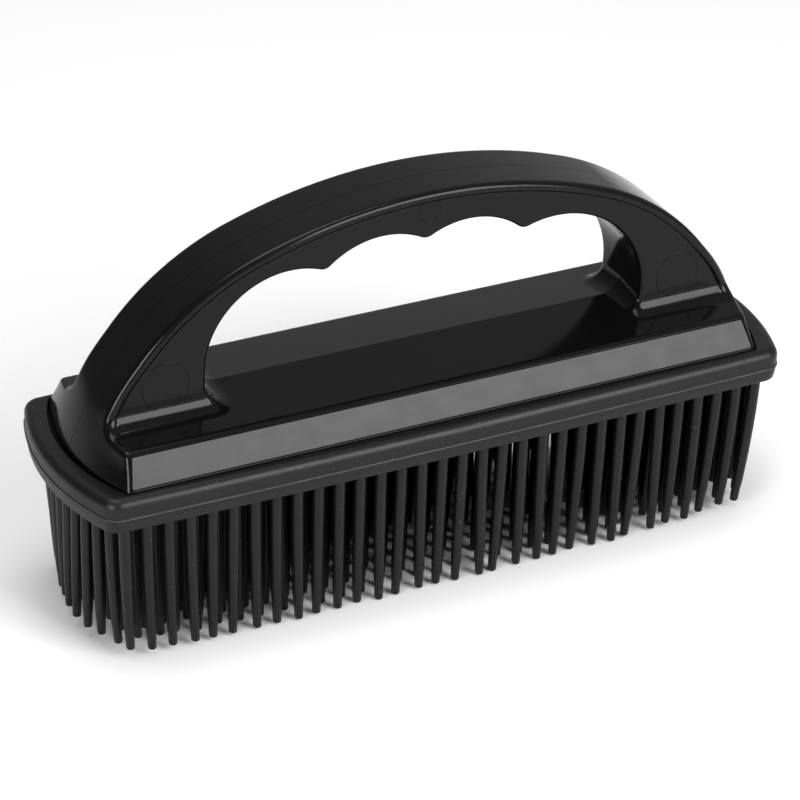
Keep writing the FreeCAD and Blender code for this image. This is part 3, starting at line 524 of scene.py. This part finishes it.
def rubber_pad(material, flash_highlight_material):
    """The rim swept around the pad's outline, down into the mouth, and closed above and below."""
    outline, normals = bowed_outline(RIM_CORNER_X, RIM_CORNER_Y, RIM_END_BOW, RIM_SIDE_BOW,
                                     RIM_CORNER_ROUND, *OUTLINE_STEPS)
    mouth, mouth_normals = bowed_outline(FOOT_X + MOUTH_GAP, FOOT_Y + MOUTH_GAP,
                                         FOOT_BOW + MOUTH_END_GAP, MOUTH_SIDE_BOW, MOUTH_ROUND,
                                         *OUTLINE_STEPS)
    rings = []
    for inset, level in rim_section():
        flat = outline - normals * inset
        rings.append(np.column_stack([flat, np.full(len(flat), RIM_TOP + level)]))
    for angle in quarter(LIP_STEPS):
        flat = mouth + mouth_normals * LIP_ROUND * (1 - math.sin(angle))
        level = RIM_TOP - LIP_ROUND * (1 - math.cos(angle))
        rings.append(np.column_stack([flat, np.full(len(flat), level)]))
    rings.append(np.column_stack([mouth, np.full(len(mouth), RIM_TOP - SKIRT_DEPTH)]))
    vertices = np.concatenate(rings)
    size = len(outline)
    faces = quads_between(len(rings), size)
    faces.append(tuple(range(size - 1, -1, -1)))
    faces.append(tuple(range((len(rings) - 1) * size, len(rings) * size)))
    piece = add_mesh("rubber_pad_moulding", vertices, faces, material, "brush")
    # The flash line's faces take a much lighter rubber: a painted highlight along the fin.
    piece.data.materials.append(flash_highlight_material)
    for polygon in piece.data.polygons:
        if abs(polygon.center.z / MM - RIM_TOP + FLASH_DROP) < FLASH_HALF:
            polygon.material_index = 1
    flatten_ends(piece)
    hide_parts("rubber_pad")


# The bristles

BRISTLE_PITCH = 5.35
ROW_HALF = 83.7
ROW_BOW = 4.2
# The tips rise towards the brush's ends.
TIP_RISE = 2.3
# The tips lean in from the ends, most in the outer rows. The rear rows also lean to the right, and
# the corner bristles lean in sideways.
END_LEAN = 1.7
MIDDLE_LEAN = 0.15
REAR_LEAN = 2.4
CORNER_SIDE_LEAN = 0.8
LEAN_POWER = 1.5
# Spread of the tips' places, and the largest difference in length.
TIP_SCATTER = 0.5
LONGER = 0.35
SCATTER_SEED = 7
BRISTLE_SIDES = 20

# Rings of a bristle: distance below the pad and radius, then distance above the tip and radius.
ROOT_RINGS = [(0.0, 2.05), (0.12, 1.87), (0.35, 1.70), (0.7, 1.58), (1.2, 1.51)]
TIP_RINGS = [(4.5, 1.2), (4.2, 1.12), (0.35, 1.02), (0.14, 0.96), (0.03, 0.87), (0.0, 0.74)]
SHANK_SHARES = [step / 16 for step in range(1, 14)]
SHANK_RADIUS = 1.49
SHANK_TAPER = 0.37
SHANK_POWER = 2.6


def bristle_rings(length):
    """Distance below the pad and radius of each ring: flared root, tapered shank, stepped tip."""
    shank = [(length * share, SHANK_RADIUS - SHANK_TAPER * share ** SHANK_POWER)
             for share in SHANK_SHARES]
    return ROOT_RINGS + shank + [(length - above, radius) for above, radius in TIP_RINGS]


def bristle_mesh(root, tip, rest_turn):
    """Vertices and faces of one bristle between two points; the faces count from 0."""
    length = root[2] - tip[2]
    shift = tip - root
    vertices = []
    rings = bristle_rings(length)
    for down, radius in rings:
        middle = root + shift * (down / length) ** LEAN_POWER
        middle[2] = root[2] - down
        for side in range(BRISTLE_SIDES):
            angle = rest_turn + 2 * math.pi * side / BRISTLE_SIDES
            vertices.append((middle[0] + radius * math.cos(angle),
                             middle[1] + radius * math.sin(angle), middle[2]))
    # The rings run downwards, so the quads are turned over to face outwards.
    faces = [quad[::-1] for quad in quads_between(len(rings), BRISTLE_SIDES)]
    faces.append(tuple(range(BRISTLE_SIDES)))
    last = (len(rings) - 1) * BRISTLE_SIDES
    faces.append(tuple(range(last + BRISTLE_SIDES - 1, last - 1, -1)))
    return vertices, faces


def bristle_rows(material):
    """Every lengthwise row of bristles; each row bends between the pad and its CAD row.

    Rows hold an even and an odd number of bristles in turn, so each stands in the next one's gaps.
    """
    random = np.random.default_rng(SCATTER_SEED)
    centres = [(box_mm(row)[0][1] + box_mm(row)[1][1]) / 2 for row in ROWS]
    for number, (row, y) in enumerate(zip(ROWS, centres)):
        half = ROW_HALF + ROW_BOW * (1 - (y / centres[0]) ** 2)
        odd = number % 2
        count = 2 * round((2 * half / BRISTLE_PITCH + 1 - odd) / 2) + odd
        vertices, faces = [], []
        for index in range(count):
            x = half * (2 * index / (count - 1) - 1)
            rise = min(TIP_RISE, TIP_RISE * (abs(x) / ROW_HALF) ** 4)
            scatter = random.normal(0, TIP_SCATTER, 2)
            longer = random.uniform(0, LONGER)
            root = np.array([x, y, UNDERSIDE])
            end = x / ROW_HALF
            lean = END_LEAN * end * (MIDDLE_LEAN + (1 - MIDDLE_LEAN) * (y / centres[0]) ** 2)
            side_lean = CORNER_SIDE_LEAN * (y / -centres[0]) * end ** 4
            rear_lean = REAR_LEAN * max(0, y / centres[-1])
            tip = np.array([x - lean + rear_lean + scatter[0], y - side_lean + scatter[1], rise + longer])
            more, sides = bristle_mesh(root, tip, random.uniform(0, math.pi))
            faces += [tuple(corner + len(vertices) for corner in side) for side in sides]
            vertices += more
        piece = add_mesh(row + "_rubber", vertices, faces, material)
        flatten_ends(piece)
        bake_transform(piece)
        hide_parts(row)


def flatten_ends(piece):
    """Shades the many-sided flat ends of a piece flat."""
    for polygon in piece.data.polygons:
        if len(polygon.vertices) > 4:
            polygon.use_smooth = False


# The label strip

STRIP_END_MARGIN = 0.9
STRIP_LOW = 0.6
STRIP_WIDTH = 7.2
STRIP_PROUD = 0.12
STRIP_SUNK = 0.3
STRIP_ROUND = 0.35
STRIP_ROUND_STEPS = 5
# Width of the black sheet around the strip, a painted shadow in the gap.
SHADOW_GAP_MARGIN = 0.28
# Inset and height of each ring, from below: a black sheet painting the shadow in the gap around the
# strip, then its eased front edge.
STRIP_SECTION = [(-SHADOW_GAP_MARGIN, -STRIP_SUNK), (-SHADOW_GAP_MARGIN, 0.02), (0.0, 0.03),
                 (0.0, STRIP_PROUD - 0.08), (0.03, STRIP_PROUD - 0.02), (0.1, STRIP_PROUD)]
SHADOW_GAP_RINGS = 3


def label_strip(material, shadow_gap_material):
    """A thin blank strip on the foot's sloping front, its corners and its front edge eased, with a black
    sheet of painted shadow around it.
    """
    slope = math.hypot(FOOT_Y - FOOT_TOP_Y, FOOT_EDGE_HEIGHT)
    lean = math.atan2(FOOT_Y - FOOT_TOP_Y, FOOT_EDGE_HEIGHT)
    taper = (FOOT_X - FOOT_TOP_X) / slope
    low, high = STRIP_LOW, STRIP_LOW + STRIP_WIDTH
    low_x = FOOT_X - STRIP_END_MARGIN - taper * low
    high_x = FOOT_X - STRIP_END_MARGIN - taper * high
    corners = [(-low_x, low, 1, 1), (low_x, low, -1, 1), (high_x, high, -1, -1), (-high_x, high, 1, -1)]
    outline = []
    for index, (x, y, towards_x, towards_y) in enumerate(corners):
        start = math.pi + index * math.pi / 2
        for angle in quarter(STRIP_ROUND_STEPS):
            outline.append((x + STRIP_ROUND * (towards_x + math.cos(start + angle)),
                            y + STRIP_ROUND * (towards_y + math.sin(start + angle))))
    outline = np.array(outline)
    middle = outline.mean(axis=0)
    along = np.array([0, math.sin(lean), math.cos(lean)])
    outwards = np.array([0, -math.cos(lean), math.sin(lean)])
    origin = np.array([0, -FOOT_Y, RIM_TOP])
    vertices = []
    for inset, level in STRIP_SECTION:
        for x, y in outline:
            flat_x = x - inset * np.sign(x)
            flat_y = y - inset * np.sign(y - middle[1])
            vertices.append(origin + np.array([flat_x, 0, 0]) + along * flat_y + outwards * level)
    size = len(outline)
    top = (len(STRIP_SECTION) - 1) * size
    faces = [tuple(range(size - 1, -1, -1)), tuple(range(top, top + size))]
    faces += quads_between(len(STRIP_SECTION), size)
    piece = add_mesh("label_strip_face", vertices, faces, material, "brush", smooth=False)
    # The lowest rings take a black material: painted shadow in the gap around the strip.
    piece.data.materials.append(shadow_gap_material)
    for polygon in piece.data.polygons:
        polygon.material_index = int(all(corner < SHADOW_GAP_RINGS * size for corner in polygon.vertices))
    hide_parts("label_strip")


# Materials


def new_material(name):
    """An empty material and its shader, which is linked to the output."""
    material = bpy.data.materials.new(name)
    material.use_nodes = True
    nodes = material.node_tree.nodes
    nodes.clear()
    output = nodes.new("ShaderNodeOutputMaterial")
    shader = nodes.new("ShaderNodeBsdfPrincipled")
    material.node_tree.links.new(shader.outputs["BSDF"], output.inputs["Surface"])
    return material, shader


def add_node(material, kind, **values):
    """A node with its inputs set by name; a value that is a socket is linked instead."""
    node = material.node_tree.nodes.new(kind)
    for name, value in values.items():
        set_input(material, node, name, value)
    return node


def set_input(material, node, name, value):
    """Sets or links one input; an underscore in the name stands for a space."""
    socket = node.inputs[name.replace("_", " ")]
    if isinstance(value, bpy.types.NodeSocket):
        material.node_tree.links.new(value, socket)
    else:
        socket.default_value = value


def noise(material, scale, detail=4.0, stretch=(1, 1, 1)):
    """Noise in the object's own metres: scale is the number of blotches in a metre."""
    place = add_node(material, "ShaderNodeTexCoord")
    spread = add_node(material, "ShaderNodeMapping", Vector=place.outputs["Object"], Scale=stretch)
    texture = add_node(material, "ShaderNodeTexNoise", Vector=spread.outputs["Vector"], Scale=scale,
                       Detail=detail)
    return texture.outputs["Fac"]


def between(material, share, low, high):
    """A value between low and high by a share from 0 to 1."""
    node = add_node(material, "ShaderNodeMapRange", Value=share, To_Min=low, To_Max=high)
    return node.outputs["Result"]


def tint(material, share, dark, light):
    """A colour between dark and light by a share from 0 to 1; a single number stands for a grey."""
    ramp = material.node_tree.nodes.new("ShaderNodeValToRGB")
    for element, colour in zip(ramp.color_ramp.elements, (dark, light)):
        element.color = (*(colour if isinstance(colour, tuple) else (colour,) * 3), 1)
    material.node_tree.links.new(share, ramp.inputs["Fac"])
    return ramp.outputs["Color"]


def finish_of(material, shader, colour, roughness, specular=None):
    """Sets a shader's colour, its roughness between two values by a noise scale, and its specular."""
    scale, low, high = roughness
    set_input(material, shader, "Base Color", colour)
    set_input(material, shader, "Roughness", between(material, noise(material, scale), low, high))
    if specular is not None:
        set_input(material, shader, "Specular_IOR_Level", specular)


def bumps(material, shader, layers):
    """Adds bump layers to the shader: each is a height, its strength and its depth in metres."""
    normal = None
    for height, strength, depth in layers:
        node = add_node(material, "ShaderNodeBump", Height=height, Strength=strength, Distance=depth)
        if normal is not None:
            set_input(material, node, "Normal", normal)
        normal = node.outputs["Normal"]
    set_input(material, shader, "Normal", normal)


def handle_plastic():
    """Glossy black moulded plastic: faint moulding ripple and uneven gloss."""
    material, shader = new_material("handle_plastic")
    colour = tint(material, noise(material, scale=45), dark=0.004, light=0.006)
    finish_of(material, shader, colour, roughness=(160, 0.08, 0.15), specular=0.26)
    ripple = noise(material, scale=60, detail=2)
    grain = noise(material, scale=2500, detail=2)
    bumps(material, shader, [(ripple, 0.25, 0.0002), (grain, 0.12, 0.00003)])
    return material


# Lint shows where its noise is above the first level, and in full above the second.
LINT_LEVELS = (0.70, 0.76)
LINT_BRIGHTNESS = 0.09


def pad_rubber(name="pad_rubber", strength=1.0, dark=0.004, light=0.008):
    """Matte black rubber: fine grain, dusty lighter patches and a few specks of lint. The flash line's
    lighter copy is a painted highlight, and the bristles' darker copy is partly painted shade.
    """
    material, shader = new_material(name)
    patches = tint(material, noise(material, scale=120, detail=6), dark, light)
    specks = add_node(material, "ShaderNodeMapRange", Value=noise(material, scale=1400, detail=2),
                      From_Min=LINT_LEVELS[0], From_Max=LINT_LEVELS[1])
    lint = tint(material, specks.outputs["Result"], dark=0, light=LINT_BRIGHTNESS)
    whole = add_node(material, "ShaderNodeVectorMath")
    material.node_tree.links.new(patches, whole.inputs[0])
    material.node_tree.links.new(lint, whole.inputs[1])
    finish_of(material, shader, whole.outputs["Vector"], roughness=(300, 0.34, 0.44), specular=0.4)
    dents = noise(material, scale=220, detail=3)
    grain = noise(material, scale=3000, detail=3)
    bumps(material, shader, [(dents, 0.3 * strength, 0.0003), (grain, 0.35 * strength, 0.00006)])
    return material


def strip_plastic():
    """Satin grey strip with a fine lengthwise grain."""
    material, shader = new_material("strip_plastic")
    grain = noise(material, scale=700, detail=3, stretch=(0.15, 1, 1))
    colour = tint(material, grain, dark=0.046, light=0.056)
    finish_of(material, shader, colour, roughness=(200, 0.45, 0.6))
    bumps(material, shader, [(grain, 0.15, 0.00004)])
    return material


def plate_plastic():
    """Dull grey moulded plastic of the hidden backing plate."""
    material, shader = new_material("plate_plastic")
    colour = tint(material, noise(material, scale=80), dark=0.02, light=0.035)
    finish_of(material, shader, colour, roughness=(260, 0.45, 0.62))
    bumps(material, shader, [(noise(material, scale=1800, detail=3), 0.2, 0.00005)])
    return material


def screw_steel():
    """Zinc-plated steel with fine drawing marks and uneven gloss."""
    material, shader = new_material("screw_steel")
    marks = noise(material, scale=2200, detail=3, stretch=(1, 1, 0.1))
    colour = tint(material, marks, dark=(0.42, 0.43, 0.45), light=(0.6, 0.6, 0.6))
    finish_of(material, shader, colour, roughness=(500, 0.25, 0.42))
    set_input(material, shader, "Metallic", 1.0)
    bumps(material, shader, [(marks, 0.15, 0.00003)])
    return material


def painted_shadow_gap():
    """Painted shadow: a dull black sheet around the strip, standing in for the shaded gap between strip
    and foot.
    """
    material, shader = new_material("strip_painted_shadow_gap")
    colour = tint(material, noise(material, scale=400), dark=0.001, light=0.003)
    finish_of(material, shader, colour, roughness=(200, 0.7, 0.9), specular=0.1)
    return material


# Set: floor, lights and camera

CAMERA_AZIMUTH = -28.14
CAMERA_ELEVATION = 30.08
CAMERA_ROLL = 2.18
CAMERA_DISTANCE = 842.1
CAMERA_TARGET = (-2.17, 0.0, RIM_TOP - 6.97)
CAMERA_LENS = 158.0
CAMERA_SENSOR = 36.0


def add_camera():
    """The camera looks at its target from an azimuth and elevation, rolled a little about its axis."""
    azimuth, elevation = math.radians(CAMERA_AZIMUTH), math.radians(CAMERA_ELEVATION)
    roll = math.radians(CAMERA_ROLL)
    back = Vector((math.sin(azimuth) * math.cos(elevation), -math.cos(azimuth) * math.cos(elevation),
                   math.sin(elevation)))
    right = Vector((math.cos(azimuth), math.sin(azimuth), 0))
    above = back.cross(right)
    turned_right = right * math.cos(roll) + above * math.sin(roll)
    turned_above = above * math.cos(roll) - right * math.sin(roll)
    place = (Vector(CAMERA_TARGET) + back * CAMERA_DISTANCE) * MM
    data = bpy.data.cameras.new("camera")
    data.lens = CAMERA_LENS
    data.sensor_width = CAMERA_SENSOR
    camera = bpy.data.objects.new("camera", data)
    matrix = Matrix((turned_right, turned_above, back)).transposed().to_4x4()
    matrix.translation = place
    camera.matrix_world = matrix
    bpy.context.scene.collection.objects.link(camera)
    bpy.context.scene.camera = camera


def add_light(name, place, target, size, power):
    """A soft rectangular light that faces a target point."""
    data = bpy.data.lights.new(name, "AREA")
    data.shape = "RECTANGLE"
    data.size, data.size_y = size
    data.energy = power
    light = bpy.data.objects.new(name, data)
    light.location = place
    light.rotation_euler = (Vector(target) - Vector(place)).to_track_quat("-Z", "Y").to_euler()
    bpy.context.scene.collection.objects.link(light)


# Soft boxes, in metres: name, direction from the brush, distance, size and radiance.
LIGHTS = [
    ("right", (0.41, -0.85, 0.48), 1.0, (0.55, 0.7), 7.8),
    ("left", (-0.85, -0.5, 0.3), 1.0, (0.45, 0.5), 8.5),
    ("above", (-0.1, 0.1, 1.0), 1.4, (0.9, 0.9), 3.4),
]
# The point on the brush that the soft boxes face, in metres.
LIGHT_TARGET = Vector((0, 0, 0.05))

# Grey of the studio at its left and elsewhere, and the stretch over which it changes.
STUDIO_DARK = 0.15
STUDIO_LIGHT = 0.54
STUDIO_FADE = (-0.7, 0.1)

# Deepens the dark tones a little, as a product photograph's tone curve does.
TONE_GAMMA = 0.87

FLOOR_HALF = 6000.0
FLOOR_DROP = 0.2
FLOOR_GREY = 0.9
FLOOR_ROUGHNESS = 0.9


def add_world():
    """An even grey studio that is darker towards the left."""
    world = bpy.data.worlds.new("studio")
    bpy.context.scene.world = world
    world.use_nodes = True
    place = add_node(world, "ShaderNodeTexCoord")
    aside = add_node(world, "ShaderNodeSeparateXYZ", Vector=place.outputs["Generated"])
    share = add_node(world, "ShaderNodeMapRange", Value=aside.outputs["X"], From_Min=STUDIO_FADE[0],
                     From_Max=STUDIO_FADE[1])
    grey = tint(world, share.outputs["Result"], STUDIO_DARK, STUDIO_LIGHT)
    set_input(world, world.node_tree.nodes["Background"], "Color", grey)
    bpy.context.scene.view_settings.view_transform = "Standard"
    bpy.context.scene.view_settings.gamma = TONE_GAMMA


def add_stage():
    """A pale floor just below the bristle tips, the studio around it and the soft boxes."""
    material, shader = new_material("floor_white")
    set_input(material, shader, "Base Color", (FLOOR_GREY, FLOOR_GREY, FLOOR_GREY, 1))
    set_input(material, shader, "Roughness", FLOOR_ROUGHNESS)
    corners = [(x * FLOOR_HALF, y * FLOOR_HALF, 0) for x, y in ((-1, -1), (1, -1), (1, 1), (-1, 1))]
    floor = add_mesh("floor", corners, [(0, 1, 2, 3)], material)
    floor.location.z = -FLOOR_DROP * MM
    add_world()
    for name, towards, distance, size, radiance in LIGHTS:
        place = LIGHT_TARGET + Vector(towards).normalized() * distance
        add_light(name, place, LIGHT_TARGET, size, radiance * math.pi * size[0] * size[1])


def main():
    gloss = handle_plastic()
    handle_halves(gloss)
    mark_rings(gloss)
    # The flash line's rubber is much lighter than the pad's: a painted highlight.
    rubber_pad(pad_rubber(), pad_rubber("flash_painted_highlight", dark=0.015, light=0.11))
    # The bristles' rubber is the pad's black rubber made darker still: partly painted shade among the
    # bristles.
    bristle_rows(pad_rubber("bristle_rubber", strength=0.6, dark=0.002, light=0.005))
    # The strip's second material is a black sheet of painted shadow around it.
    label_strip(strip_plastic(), painted_shadow_gap())
    for name, material in (("backing_plate", plate_plastic()), ("backing_plate_screws", screw_steel())):
        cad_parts[name].data.materials.clear()
        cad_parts[name].data.materials.append(material)
    add_stage()
    add_camera()


main()
